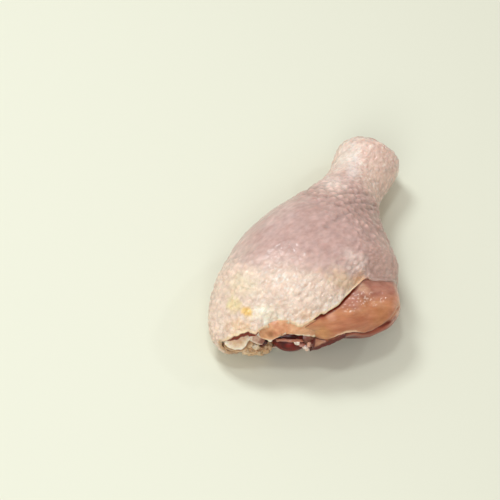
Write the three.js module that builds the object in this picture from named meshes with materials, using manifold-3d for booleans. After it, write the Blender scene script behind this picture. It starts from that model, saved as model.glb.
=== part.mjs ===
// A raw chicken drumstick with its skin on, lying on its flatter side.
// The hock, with its knuckle, points along +Y. The cut knee end faces -Y. +Z is up.
// Lengths are in millimetres.
import * as THREE from "three";
import Module from "manifold-3d";
import { mergeVertices } from "three/addons/utils/BufferGeometryUtils.js";

const SKIN_THICKNESS = 1.7;
const CLEARANCE = 0.3; // between one tissue and the next
const FLESH_INSET = 2.3; // below the outside of the skin
const SAG = 2.5; // height over which the skin turns to lie flat

// How fine the surfaces are.
const AROUND = 44;
const BODY_ROWS = 16; // hock to waist
const LOFT_ROWS = 8; // waist to the cut edge of the skin
const FACE_ROWS = 11; // where the flesh leaves the skin to the middle of the knee end
const HOCK_RECESS = 0.02; // how far the flesh stays back at the hock, as a station
const EDGE_MARGIN = 0.012; // room kept beyond the cut edge, as a station
const SLOPE_STEP = 0.004; // for slopes, as a station and as a turn

// Sections across the body from the hock to the waist. Each has its widest points on the left and
// right (X, Y) and the heights of its widest line, its crest and its underside. The underside
// reaches below zero where the body is pressed flat.
const SECTIONS = [
  { left: [-0.4, 65.6], right: [20.4, 64.4], widest: 11, crest: 20, keel: 3 },
  { left: [-3.4, 58.0], right: [24.4, 58.6], widest: 12, crest: 26.5, keel: -0.6 },
  { left: [-4.0, 49.0], right: [23.0, 50.0], widest: 12, crest: 26.3, keel: -0.4 },
  { left: [-6.5, 40.0], right: [20.8, 41.5], widest: 12.5, crest: 26.5, keel: 0.4 },
  { left: [-13.0, 28.0], right: [20.2, 33.5], widest: 14, crest: 29.5, keel: -0.6 },
  { left: [-21.5, 15.5], right: [21.8, 24.0], widest: 15.5, crest: 34.5, keel: -2 },
  { left: [-29.5, 2.5], right: [25.2, 15.0], widest: 16.5, crest: 39, keel: -3.4 },
  { left: [-35.0, -11.5], right: [29.2, 7.0], widest: 17, crest: 42, keel: -4 },
  { left: [-38.0, -27.0], right: [33.0, 0.0], widest: 17.5, crest: 43, keel: -4 },
];

// The cut end, once round from the right over the top, one row for each sixteenth of a turn:
// a point of the skin's edge, the way the skin heads there, the station between waist (1) and
// edge (2) where the flesh leaves the skin, and how full the flesh bulges beyond.
const CUT_END = [
  { edge: [36.6, -6, 16], heading: [0.45, -1, -0.1], leaves: 1.96, fullness: 1.7 },
  { edge: [32, -13, 27], heading: [0.3, -1, 0], leaves: 1.96, fullness: 1.95 },
  { edge: [22.5, -22, 33.3], heading: [0.15, -1, -0.15], leaves: 1.96, fullness: 2.1 },
  { edge: [11.5, -40.5, 33.3], heading: [0, -1, -0.4], leaves: 1.96, fullness: 2.2 },
  { edge: [-1, -51.4, 30.3], heading: [0, -1, -0.6], leaves: 1.9, fullness: 1.8 },
  { edge: [-10.5, -52.2, 28.4], heading: [0, -1, -0.7], leaves: 1.8, fullness: 1.3 },
  { edge: [-18.5, -55.8, 23.5], heading: [0.1, -1, -0.9], leaves: 1.7, fullness: 1.2 },
  { edge: [-25, -57.8, 19.5], heading: [0.3, -1, -1], leaves: 1.6, fullness: 1.1 },
  { edge: [-30, -57, 13], heading: [1, -0.5, -0.1], leaves: 1.55, fullness: 1 },
  { edge: [-26.5, -56.5, 8.5], heading: [0.6, -0.2, 1], leaves: 1.5, fullness: 1 },
  { edge: [-20, -51.8, 5.5], heading: [0.2, -0.6, 0.8], leaves: 1.5, fullness: 1 },
  { edge: [-9.5, -43.5, 1.5], heading: [0.1, -1, 0.4], leaves: 1.6, fullness: 1 },
  { edge: [4.5, -37, 0.5], heading: [0, -1, 0], leaves: 1.75, fullness: 1 },
  { edge: [16.5, -30, 0.5], heading: [0, -1, 0], leaves: 1.85, fullness: 1 },
  { edge: [27, -18, 1.5], heading: [0.15, -1, 0.1], leaves: 1.9, fullness: 0.6 },
  { edge: [34.6, -9, 7], heading: [0.35, -1, 0.05], leaves: 1.96, fullness: 0.85 },
];
const FACE_CENTRE = [7, -42.5, 15];

// Ovals of muscle that bulge out of the cut end: middle, half sizes, degrees turned about Z.
const MUSCLES = [
  { at: [9, -29, 22.5], half: [17, 18.5, 11.5], turned: 30 }, // inner calf
  { at: [-6, -36, 22], half: [13, 13, 8.5], turned: 10 }, // fan behind the knee
  { at: [18, -15, 8], half: [12, 10, 5], turned: 30 }, // under the calf
  { at: [-4.5, -38.8, 10], half: [9.5, 10, 6], turned: 15 }, // dark deep muscle
  { at: [-20, -38, 18], half: [10, 13, 10], turned: 0 }, // shin
];
const MUSCLE_SIDES = 18;
const MUSCLE_ROWS = 12;

// Ovals of fat at the lower left of the cut end.
const FAT_LUMPS = [
  { at: [-24.5, -51.5, 12.5], half: [8, 5.5, 6], turned: 15 },
  { at: [-18, -49.5, 7.5], half: [5, 4, 4], turned: 20 },
  { at: [-13.5, -47.2, 5.5], half: [4, 3.2, 3.6], turned: 30 },
];
const FAT_SIDES = 12;
const FAT_ROWS = 8;

// The shin bone runs from its knee head to the knuckle of the hock. Each ring has its share of the
// way along, its half width and its half height.
const BONE_KNEE = [1.5, -44, 9.2];
const BONE_HOCK = [10.1, 69, 11.5];
const BONE_RINGS = [
  { along: 0, width: 3.5, height: 2.5 },
  { along: 0.012, width: 6, height: 4.5 },
  { along: 0.05, width: 8, height: 6.5 },
  { along: 0.1, width: 8, height: 6.4 },
  { along: 0.18, width: 5.8, height: 5.4 },
  { along: 0.4, width: 4.6, height: 4.6 },
  { along: 0.75, width: 4.8, height: 4.4 },
  { along: 0.86, width: 6.4, height: 5.4 },
  { along: 0.92, width: 7.8, height: 6.8 },
  { along: 0.96, width: 8, height: 7 },
  { along: 0.985, width: 7.3, height: 6.3 },
  { along: 0.998, width: 5.6, height: 4.4 },
];
const BONE_SIDES = 24;
const GROOVE = { starts: 0.9, depth: 2.2, halfWidth: 3.6 }; // between the two knuckles

const vector = (p) => new THREE.Vector3(...p);
const steps = (count) => Array.from({ length: count + 1 }, (_, i) => i / count);
const openCurve = (points) => new THREE.CatmullRomCurve3(points, false, "catmullrom");
const closedCurve = (points) => new THREE.CatmullRomCurve3(points, true, "catmullrom");

// The four lines that the body hangs on.
function sideLine(side) {
  return openCurve(SECTIONS.map((section) => vector([...section[side], section.widest])));
}

function middleLine(level) {
  const middle = ({ left, right }) => [(left[0] + right[0]) / 2, (left[1] + right[1]) / 2];
  return openCurve(SECTIONS.map((section) => vector([...middle(section), section[level]])));
}

const leftLine = sideLine("left");
const rightLine = sideLine("right");
const crestLine = middleLine("crest");
const keelLine = middleLine("keel");

// What changes once round the cut end.
const edgeLine = closedCurve(CUT_END.map(({ edge }) => vector(edge)));
const headingLine = closedCurve(CUT_END.map(({ heading }) => vector(heading)));
const fleshLine = closedCurve(CUT_END.map(({ leaves, fullness }) => vector([leaves, fullness, 0])));

// Keeps a height at or above zero, with a soft turn instead of a crease.
function restingHeight(height) {
  if (height > SAG) return height;
  return height < -SAG ? 0 : (height + SAG) ** 2 / (4 * SAG);
}

// A point of the body between hock (station 0) and waist (station 1), before it rests.
// A turn of 0 is on the right, a quarter is on the crest, a half on the left.
function bodyPoint(station, turn) {
  const right = rightLine.getPoint(station);
  const left = leftLine.getPoint(station);
  const centre = right.clone().lerp(left, 0.5);
  const across = Math.cos(2 * Math.PI * turn);
  const up = Math.sin(2 * Math.PI * turn);
  const sideways = (across > 0 ? right : left).sub(centre);
  const upright = (up > 0 ? crestLine : keelLine).getPoint(station).sub(centre);
  return centre.addScaledVector(sideways, Math.abs(across)).addScaledVector(upright, Math.abs(up));
}

// A cubic that leaves "from" along "leaving" and reaches "to" along "reaching".
function sweep(from, leaving, to, reaching, share) {
  const s2 = share * share;
  const s3 = s2 * share;
  return new THREE.Vector3()
    .addScaledVector(from, 2 * s3 - 3 * s2 + 1)
    .addScaledVector(leaving, s3 - 2 * s2 + share)
    .addScaledVector(to, 3 * s2 - 2 * s3)
    .addScaledVector(reaching, s3 - s2);
}

// The skin between waist (station 1) and cut edge (station 2).
function loftPoint(station, turn) {
  const waist = bodyPoint(1, turn);
  const edge = edgeLine.getPoint(turn);
  const reach = waist.distanceTo(edge);
  const leaving = waist.clone().sub(bodyPoint(0.98, turn)).setLength(reach);
  return sweep(waist, leaving, edge, headingLine.getPoint(turn).setLength(reach), station - 1);
}

function skinPoint(station, turn) {
  const point = station <= 1 ? bodyPoint(station, turn) : loftPoint(station, turn);
  return point.setZ(restingHeight(point.z));
}

// A point "depth" below the outside of the skin.
function underSkin(station, turn, depth) {
  const behind = skinPoint(Math.max(station - SLOPE_STEP, 0), turn);
  const along = skinPoint(station + SLOPE_STEP, turn).sub(behind);
  const around = skinPoint(station, turn + SLOPE_STEP).sub(skinPoint(station, turn - SLOPE_STEP));
  const outward = around.cross(along).normalize();
  return skinPoint(station, turn).addScaledVector(outward, -depth);
}

function bare(geometry) {
  geometry.deleteAttribute("normal");
  geometry.deleteAttribute("uv");
  return mergeVertices(geometry, 1e-4);
}

// Moves each vertex of a lathed geometry to where "place" puts its radius, height and turn.
function wrap(profile, sides, place) {
  const geometry = new THREE.LatheGeometry(profile, sides);
  const position = geometry.getAttribute("position");
  for (let i = 0; i < position.count; i += 1) {
    const [x, y, z] = [position.getX(i), position.getY(i), position.getZ(i)];
    const turn = (Math.atan2(x, z) / (2 * Math.PI) + 1) % 1;
    const moved = place(Math.hypot(x, z), y, turn);
    position.setXYZ(i, moved.x, moved.y, moved.z);
  }
  return bare(geometry);
}

// The sleeve of skin between two depths, from the hock to "last".
function sleeveGeometry(outside, inside, last) {
  const loft = steps(LOFT_ROWS).slice(1, -1).map((share) => 1 + share);
  const stations = [...steps(BODY_ROWS), ...loft, last];
  const profile = [
    ...stations.map((station) => new THREE.Vector2(2, station)),
    ...stations.reverse().map((station) => new THREE.Vector2(1, station)),
  ];
  profile.push(profile[0]);
  return wrap(profile, AROUND, (layer, station, turn) =>
    underSkin(station, turn, layer > 1.5 ? outside : inside),
  );
}

// The bulge of flesh between where it leaves the skin (share 0) and the middle of the cut end.
function facePoint(share, turn) {
  const { x: leaves, y: fullness } = fleshLine.getPoint(turn);
  const from = underSkin(leaves, turn, FLESH_INSET);
  const to = vector(FACE_CENTRE);
  const reach = from.distanceTo(to);
  const leaving = from.clone().sub(underSkin(leaves - 0.03, turn, FLESH_INSET));
  const reaching = to.clone().sub(from).setY(0).setLength(reach);
  return sweep(from, leaving.setLength(reach * fullness), to, reaching, share);
}

// The mass of flesh inside the skin: a flat hock end, the body and the bulging face.
function coreGeometry() {
  const hock = bodyPoint(HOCK_RECESS, 0).lerp(bodyPoint(HOCK_RECESS, 0.5), 0.5);
  const bodyRows = steps(BODY_ROWS + LOFT_ROWS).map((share) => new THREE.Vector2(1, share));
  const faceRows = steps(FACE_ROWS).slice(1, -1).map((share) => new THREE.Vector2(1, 1 + share));
  const profile = [new THREE.Vector2(0, 0), ...bodyRows, ...faceRows, new THREE.Vector2(0, 2)];
  return wrap(profile, AROUND, (spread, share, turn) => {
    if (share > 1) return facePoint(share - 1, turn);
    const station = THREE.MathUtils.lerp(HOCK_RECESS, fleshLine.getPoint(turn).x, share);
    return hock.clone().lerp(underSkin(station, turn, FLESH_INSET), spread);
  });
}

// The bone, grown by "extra" all over. Its hock end is a spool: two knuckles and a groove.
function boneGeometry(extra) {
  const axis = vector(BONE_HOCK).sub(vector(BONE_KNEE));
  const tip = { width: -extra, height: -extra };
  const beyond = extra / axis.length();
  const rings = [{ ...tip, along: -beyond }, ...BONE_RINGS, { ...tip, along: 1 + beyond }];
  const last = rings.length - 1;
  const profile = rings.map((_, i) => new THREE.Vector2(i > 0 && i < last ? 1 : 0, i)).reverse();
  return wrap(profile, BONE_SIDES, (_, index, turn) => {
    const { along, width, height } = rings[Math.round(index)];
    const point = vector(BONE_KNEE).addScaledVector(axis, along);
    const aside = (width + extra) * Math.cos(2 * Math.PI * turn);
    const end = THREE.MathUtils.clamp((along - GROOVE.starts) / (1 - GROOVE.starts), 0, 1);
    point.x += aside;
    point.y -= GROOVE.depth * end * Math.max(0, 1 - (aside / GROOVE.halfWidth) ** 2);
    point.z += (height + extra) * Math.sin(2 * Math.PI * turn);
    return point;
  });
}

const wasm = await Module();
wasm.setup();

function solid(geometry) {
  const vertProperties = geometry.getAttribute("position").array;
  const mesh = new wasm.Mesh({ numProp: 3, vertProperties, triVerts: geometry.index.array });
  return new wasm.Manifold(mesh);
}

// An oval of muscle or fat, grown by "extra" all over.
function oval({ at, half, turned }, sides, rows, extra = 0) {
  const geometry = new THREE.SphereGeometry(1, sides, rows);
  geometry.scale(...half.map((length) => length + extra));
  geometry.rotateZ(THREE.MathUtils.degToRad(turned));
  geometry.translate(...at);
  return solid(bare(geometry));
}

const joined = (solids) => solids.reduce((whole, piece) => whole.add(piece));
const larger = (one, other) => (one.volume() > other.volume() ? one : other);
const largest = (whole) => whole.decompose().reduce(larger);

function tissue(name, whole, color, roughness) {
  const { vertProperties, triVerts } = whole.getMesh();
  const geometry = new THREE.BufferGeometry();
  geometry.setAttribute("position", new THREE.BufferAttribute(vertProperties, 3));
  geometry.setIndex(new THREE.BufferAttribute(triVerts, 1));
  geometry.computeVertexNormals();
  const material = new THREE.MeshStandardMaterial({ color, roughness, metalness: 0 });
  const mesh = new THREE.Mesh(geometry, material);
  mesh.name = name;
  return mesh;
}

// What the other tissues stay clear of.
const skinRoom = solid(sleeveGeometry(-CLEARANCE, SKIN_THICKNESS + CLEARANCE, 2 + EDGE_MARGIN));
const boneRoom = solid(boneGeometry(CLEARANCE));
const fatRoom = joined(FAT_LUMPS.map((lump) => oval(lump, FAT_SIDES, FAT_ROWS, CLEARANCE)));

function makeSkin() {
  return tissue("skin", solid(sleeveGeometry(0, SKIN_THICKNESS, 2)), "#dcbcb0", 0.35);
}

function makeFlesh() {
  const muscles = MUSCLES.map((muscle) => oval(muscle, MUSCLE_SIDES, MUSCLE_ROWS));
  const whole = joined([solid(coreGeometry()), ...muscles]).subtract(skinRoom);
  return tissue("flesh", largest(whole.subtract(boneRoom).subtract(fatRoom)), "#c28861", 0.3);
}

function makeFat() {
  const whole = joined(FAT_LUMPS.map((lump) => oval(lump, FAT_SIDES, FAT_ROWS)));
  return tissue("fat", largest(whole.subtract(skinRoom).subtract(boneRoom)), "#e6cf9f", 0.4);
}

function makeBone() {
  return tissue("bone", solid(boneGeometry(0)), "#d8cdd2", 0.3);
}

const drumstick = new THREE.Group();
drumstick.add(makeSkin(), makeFlesh(), makeFat(), makeBone());

// The origin is under the middle of the whole, at the height that it rests on.
const bounds = new THREE.Box3().setFromObject(drumstick);
const middle = bounds.getCenter(new THREE.Vector3());
drumstick.position.set(-middle.x, -middle.y, -bounds.min.z);

export default drumstick;
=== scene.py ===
"""A raw chicken drumstick with its skin on, lying on its flatter side on a plain ground.

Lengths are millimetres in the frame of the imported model, and become metres where a mesh or a light
is handed to Blender. The hock points along +Y, the cut knee end faces -Y and +Z is up.
"""

import functools
import itertools
import logging
import math
from dataclasses import dataclass
from enum import Enum
from typing import Any

import bmesh
import bpy
import numpy as np
from mathutils import Matrix, Vector
from mathutils.bvhtree import BVHTree
from mathutils.kdtree import KDTree

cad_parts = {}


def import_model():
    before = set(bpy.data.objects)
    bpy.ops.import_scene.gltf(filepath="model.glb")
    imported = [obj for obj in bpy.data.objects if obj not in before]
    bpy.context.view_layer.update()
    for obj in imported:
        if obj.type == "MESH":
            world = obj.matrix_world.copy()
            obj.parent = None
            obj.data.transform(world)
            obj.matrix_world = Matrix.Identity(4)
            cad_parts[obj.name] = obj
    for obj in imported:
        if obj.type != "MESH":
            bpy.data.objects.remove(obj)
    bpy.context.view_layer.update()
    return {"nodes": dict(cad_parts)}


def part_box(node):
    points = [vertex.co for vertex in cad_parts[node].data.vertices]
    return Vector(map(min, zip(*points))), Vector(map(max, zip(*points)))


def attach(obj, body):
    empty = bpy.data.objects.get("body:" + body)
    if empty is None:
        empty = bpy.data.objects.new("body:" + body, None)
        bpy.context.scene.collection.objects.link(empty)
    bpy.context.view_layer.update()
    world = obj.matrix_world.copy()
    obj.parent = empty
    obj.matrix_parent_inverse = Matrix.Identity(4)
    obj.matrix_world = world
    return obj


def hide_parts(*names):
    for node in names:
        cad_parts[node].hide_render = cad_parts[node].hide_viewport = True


MM = 0.001
TURN = 2 * math.pi
LATTICE = 32  # cells after which the noise repeats
SEED = 11

log = logging.getLogger("drumstick")

Array = np.ndarray
Point = tuple[float, float, float]
Spot = tuple[float, float]
Line = tuple[Point, ...]
Layers = tuple[tuple[str, Array], ...]  # colours, each with how much of it shows at each point


class Slot(Enum):
    """The record's material slots."""

    SKIN = "skin"
    FLESH = "flesh"
    FAT = "fat"
    BONE = "bone"


# Numbers and colours


def linear(code: str) -> tuple[float, float, float, float]:
    """Turns an sRGB hex colour to linear light.

    Args:
        code: the colour, such as "#E7E6D2".

    Returns:
        Red, green, blue and an alpha of one.
    """
    parts = [int(code[i : i + 2], 16) / 255 for i in (1, 3, 5)]
    light = [c / 12.92 if c <= 0.04045 else ((c + 0.055) / 1.055) ** 2.4 for c in parts]
    return (light[0], light[1], light[2], 1.0)


def rgb(code: str) -> Array:
    """Gives a hex colour in linear light, without the alpha."""
    return np.array(linear(code)[:3])


def ramp(values: Array, low: float, high: float) -> Array:
    """Rises smoothly from 0 at "low" to 1 at "high", or falls where "low" is the larger.

    Args:
        values: what is compared with the two limits.
        low: where the result is 0.
        high: where the result is 1.

    Returns:
        The share, between 0 and 1.
    """
    share = np.clip((values - low) / (high - low), 0, 1)
    return share * share * (3 - 2 * share)


def bell(values: Array, width: float) -> Array:
    """Is 1 at nothing and falls away on both sides of it."""
    return np.exp(-((values / width) ** 2))


def unit(vectors: Array) -> Array:
    """Gives vectors a length of one."""
    return vectors / np.maximum(np.linalg.norm(vectors, axis=-1, keepdims=True), 1e-9)


def spline(line: Array | Line, share: Array, closed: bool = False) -> Array:
    """Runs a Catmull-Rom curve through points.

    Args:
        line: the points, one to a row.
        share: how far along, from 0 to 1.
        closed: whether the curve ends where it began.

    Returns:
        A point for each share.
    """
    points = np.asarray(line, float)
    if closed:
        knots = np.vstack([points[-1:], points, points[:2]])
        place = (share % 1) * len(points)
    else:
        knots = np.vstack([2 * points[0] - points[1], points, 2 * points[-1] - points[-2]])
        place = np.clip(share, 0, 1) * (len(points) - 1)
    first = np.minimum(place.astype(int), len(knots) - 4)
    t = (place - first)[..., None]
    a, b, c, d = (knots[first + i] for i in range(4))
    return b + 0.5 * t * (c - a + t * (2 * a - 5 * b + 4 * c - d + t * (3 * b - a - 3 * c + d)))


def distance_to_path(spots: Array, path: Array | Line | tuple[Spot, ...]) -> Array:
    """Measures how far spots are from a bent line.

    Args:
        spots: the spots, with their coordinates along the last axis.
        path: the corners of the line, one to a row.

    Returns:
        The distance of each spot.
    """
    corners = np.asarray(path, float)
    best = np.full(spots.shape[:-1], np.inf)
    for start, end in zip(corners[:-1], corners[1:]):
        along = end - start
        share = np.clip((spots - start) @ along / (along @ along), 0, 1)
        best = np.minimum(best, np.linalg.norm(spots - start - share[..., None] * along, axis=-1))
    return best


def distances_to_places(points: Array, places: Array) -> tuple[Array, Array]:
    """Measures how far points are from the nearest of some places and from the next one.

    Args:
        points: the points, with their coordinates along the last axis.
        places: the places, one to a row.

    Returns:
        The two distances of each point.
    """
    tree = KDTree(len(places))
    for i, place in enumerate(places):
        tree.insert(place, i)
    tree.balance()
    found = [tree.find_n(point, 2) for point in points.reshape(-1, 3)]
    far = np.array([(hits[0][2], hits[1][2]) for hits in found]).reshape(*points.shape[:-1], 2)
    return far[..., 0], far[..., 1]


def turned(degrees: float) -> Array:
    """Gives the matrix that turns rows of points about the upright."""
    cosine, sine = math.cos(math.radians(degrees)), math.sin(math.radians(degrees))
    return np.array([[cosine, -sine, 0], [sine, cosine, 0], [0, 0, 1]])


class SpaceNoise:
    """Smooth noise in space that is the same on every run."""

    def __init__(self, seed: int) -> None:
        """Draws the slopes at the lattice's corners."""
        self.slopes = unit(np.random.default_rng(seed).normal(size=(LATTICE, LATTICE, LATTICE, 3)))

    def at(self, points: Array, size: float | Point) -> Array:
        """Reads the noise.

        Args:
            points: where to read it.
            size: the size of its lumps, one number or one for each axis.

        Returns:
            A value between about -1 and 1 for each point.
        """
        places = points / np.asarray(size, float)
        corner = np.floor(places).astype(int)
        inside = places - corner
        blend = inside**3 * (inside * (inside * 6 - 15) + 10)
        total = np.zeros(points.shape[:-1])
        for offset in itertools.product((0, 1), repeat=3):
            step = np.array(offset)
            cell = (corner + step) % LATTICE
            slope = self.slopes[cell[..., 0], cell[..., 1], cell[..., 2]]
            weight = np.prod(np.where(step, blend, 1 - blend), axis=-1)
            total += weight * np.sum(slope * (inside - step), axis=-1)
        return 1.6 * total


noise = SpaceNoise(SEED).at  # what every shape and colour reads


def painted(points: Array, base: str, layers: Layers) -> Array:
    """Lays colours over one another.

    Args:
        points: the points to colour.
        base: the lowest colour.
        layers: the further colours, from the lowest up.

    Returns:
        A linear colour for each point.
    """
    color = np.broadcast_to(rgb(base), points.shape)
    for code, share in layers:
        color = color + share[..., None] * (rgb(code) - color)
    return color


@dataclass(frozen=True)
class Wash:
    """A patch of colour with a soft mottled border."""

    tone: str
    middle: Point
    radii: Point
    strength: float

    def over(self, points: Array) -> tuple[str, Array]:
        """Lays the patch over points.

        Args:
            points: the points to colour.

        Returns:
            The colour, and how much of it shows at each point.
        """
        far = np.linalg.norm((points - self.middle) / self.radii, axis=-1)
        far = far + 0.3 * noise(points, 4) + 0.25 * noise(points, 1.6)
        return self.tone, self.strength * ramp(far, 1.2, 0.3)


# Finishes


def add(tree: bpy.types.NodeTree, kind: str, inputs: dict[str | int, Any] | None = None,
        **settings: Any) -> bpy.types.Node:
    """Adds a node.

    Args:
        tree: the node tree.
        kind: the node's type.
        inputs: a value, or the socket to link, for each input by name or number.
        settings: the node's own settings.

    Returns:
        The node.
    """
    node = tree.nodes.new(kind)
    for title, value in settings.items():
        setattr(node, title, value)
    for title, value in (inputs or {}).items():
        if isinstance(value, bpy.types.NodeSocket):
            tree.links.new(value, node.inputs[title])
        else:
            node.inputs[title].default_value = value
    return node


def per_metre(size: float) -> float:
    """Gives the texture scale at which a pattern repeats after "size" millimetres."""
    return 1 / (size * MM)


@dataclass(frozen=True)
class Tissue:
    """What all wet tissues share: a body that light soaks into and a film of water on it."""

    name: str
    slot: Slot
    shades: tuple[str, str]  # multiplied in by the mottling, from dark to light
    roughness: float
    ior: float
    soak: float  # share of the light that soaks in
    soak_depth: Point  # how far red, green and blue light spread
    film: float  # share of the surface that is wet
    film_roughness: float
    mottle: float  # size of the blotches
    lumps: tuple[Spot, ...]  # size and height of each layer of fine relief
    stretch: Point = (1.0, 1.0, 1.0)  # how far the fine relief is drawn out along each axis
    turned: float = 0.0  # degrees about the upright by which the drawn out relief is turned

    WATER_IOR = 1.33
    BLOTCH_ENDS = (0.3, 0.7)  # the noise at which the mottling is darkest and lightest

    @functools.cache
    def material(self) -> bpy.types.Material:
        """Builds the material, the first time that it is asked for.

        Returns:
            A material that reads the layers "tint" and "coarse" of the mesh.
        """
        made = bpy.data.materials.new(self.name)
        made.use_nodes = True
        tree = made.node_tree
        shader = tree.nodes["Principled BSDF"]
        place = add(tree, "ShaderNodeTexCoord").outputs["Object"]
        way = {"Vector": place, "Rotation": (0, 0, math.radians(self.turned)), "Scale": self.stretch}
        drawn = add(tree, "ShaderNodeMapping", way, vector_type="TEXTURE").outputs[0]
        tint = add(tree, "ShaderNodeAttribute", attribute_name="tint").outputs["Color"]
        coarse = add(tree, "ShaderNodeAttribute", attribute_name="coarse").outputs["Fac"]
        pattern = {"Vector": drawn, "Scale": per_metre(self.mottle), "Detail": 4.0, "Roughness": 0.6}
        blotch = add(tree, "ShaderNodeTexNoise", pattern).outputs["Fac"]
        tone = add(tree, "ShaderNodeValToRGB", {0: blotch})
        for stop, end, shade in zip(tone.color_ramp.elements, self.BLOTCH_ENDS, self.shades):
            stop.position = end
            stop.color = linear(shade)
        mixed = {0: 1.0, 6: tint, 7: tone.outputs[0]}
        color = add(tree, "ShaderNodeMix", mixed, data_type="RGBA", blend_type="MULTIPLY")
        tree.links.new(color.outputs[2], shader.inputs["Base Color"])
        height = None
        for size, rise in self.lumps:
            pattern = {"Vector": drawn, "Scale": per_metre(size), "Detail": 2.0}
            grain = add(tree, "ShaderNodeTexNoise", pattern).outputs["Fac"]
            raised = add(tree, "ShaderNodeMath", {0: grain, 1: rise * MM}, operation="MULTIPLY")
            if height is not None:
                raised = add(tree, "ShaderNodeMath", {0: height, 1: raised.outputs[0]}, operation="ADD")
            height = raised.outputs[0]
        scaled = add(tree, "ShaderNodeMath", {0: height, 1: coarse}, operation="MULTIPLY")
        bump = add(tree, "ShaderNodeBump", {"Height": scaled.outputs[0], "Strength": 1.0, "Distance": 1.0})
        tree.links.new(bump.outputs[0], shader.inputs["Normal"])
        tree.links.new(bump.outputs[0], shader.inputs["Coat Normal"])
        values = {
            "Roughness": self.roughness, "IOR": self.ior, "Subsurface Weight": self.soak,
            "Subsurface Scale": MM, "Subsurface Radius": self.soak_depth, "Coat Weight": self.film,
            "Coat Roughness": self.film_roughness, "Coat IOR": self.WATER_IOR,
        }
        for title, value in values.items():
            shader.inputs[title].default_value = value
        return made


# Raw poultry skin, plucked and wet: light soaks a few millimetres in, so the relief looks soft, while
# the water film gives small hard glints.
WET_SKIN = Tissue(
    name="raw plucked poultry skin", slot=Slot.SKIN, shades=("#EDE6E3", "#FFFFFF"),
    roughness=0.45, ior=1.4, soak=0.3, soak_depth=(2.0, 1.0, 0.7), film=0.75, film_roughness=0.1,
    mottle=4.0, lumps=((1.6, 0.42), (0.85, 0.22), (0.4, 0.06)),
)

# Raw bare muscle, skinned and wet: deeper and redder light, glossy, with a faint grain along its
# fibres.
WET_MUSCLE = Tissue(
    name="raw skinned poultry muscle", slot=Slot.FLESH, shades=("#DCC8C0", "#FFFFFF"),
    roughness=0.36, ior=1.34, soak=0.4, soak_depth=(3.0, 1.2, 0.6), film=0.5, film_roughness=0.1,
    mottle=2.4, lumps=((2.0, 0.16), (0.8, 0.07)), stretch=(5.0, 1.0, 1.0), turned=30.0,
)

# Fascia, the film round raw muscle, torn: it lets the muscle's orange through and shines like wet
# silk.
WHITE_FILM = Tissue(
    name="raw torn muscle film", slot=Slot.FLESH, shades=("#E6D2C4", "#FFFFFF"),
    roughness=0.35, ior=1.4, soak=0.45, soak_depth=(1.6, 0.9, 0.6), film=0.7, film_roughness=0.12,
    mottle=1.8, lumps=((1.2, 0.18), (0.5, 0.06)),
)

# Raw soft fat, torn: pale and lumpy, it scatters nearly all light and shines only a little.
SOFT_FAT = Tissue(
    name="raw torn poultry fat", slot=Slot.FAT, shades=("#E8D8C0", "#FFFFFF"),
    roughness=0.45, ior=1.45, soak=0.5, soak_depth=(2.6, 2.0, 1.2), film=0.5, film_roughness=0.2,
    mottle=1.6, lumps=((1.4, 0.3), (0.6, 0.12)),
)

# Cartilage and bone end, cut clean and wet: milky, bluish and very smooth.
CARTILAGE = Tissue(
    name="raw wet cartilage", slot=Slot.BONE, shades=("#D8C2C6", "#FFFFFF"),
    roughness=0.28, ior=1.42, soak=0.5, soak_depth=(1.8, 1.8, 2.0), film=0.8, film_roughness=0.08,
    mottle=5.0, lumps=((2.2, 0.08),),
)


# Meshes


def piece(name: str, points: Array, faces: Any, tissue: Tissue, tint: Array,
          coarse: Array | float = 0.7) -> bpy.types.Object:
    """Makes a smooth-shaded object that rides on the part's only body.

    Args:
        name: the object's name.
        points: its points, in millimetres.
        faces: the point numbers of each face.
        tissue: what it is made of.
        tint: a linear colour for each point.
        coarse: how strong the fine relief is, for all points or for each.

    Returns:
        The object.
    """
    mesh = bpy.data.meshes.new(name)
    mesh.from_pydata(points.reshape(-1, 3) * MM, [], faces)
    shades = np.column_stack([tint, np.ones(len(tint))]).astype(np.float32)
    mesh.attributes.new("tint", "FLOAT_COLOR", "POINT").data.foreach_set("color", shades.ravel())
    strengths = np.broadcast_to(coarse, len(tint)).astype(np.float32)
    mesh.attributes.new("coarse", "FLOAT", "POINT").data.foreach_set("value", strengths)
    mesh.shade_smooth()
    mesh.materials.append(tissue.material())
    made = bpy.data.objects.new(name, mesh)
    bpy.context.scene.collection.objects.link(made)
    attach(made, "root")
    log.info("%s: %d points, %d faces", name, len(mesh.vertices), len(mesh.polygons))
    return made


@dataclass
class Surface:
    """A closed surface as plain arrays."""

    points: Array
    faces: Array
    normals: Array

    def tree(self) -> BVHTree:
        """Gives a tree that rays can be cast on."""
        return BVHTree.FromPolygons(self.points.tolist(), self.faces.tolist())

    def swell(self, height: Array) -> None:
        """Moves each point out by its height."""
        self.points = self.points + self.normals * height[:, None]


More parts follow.
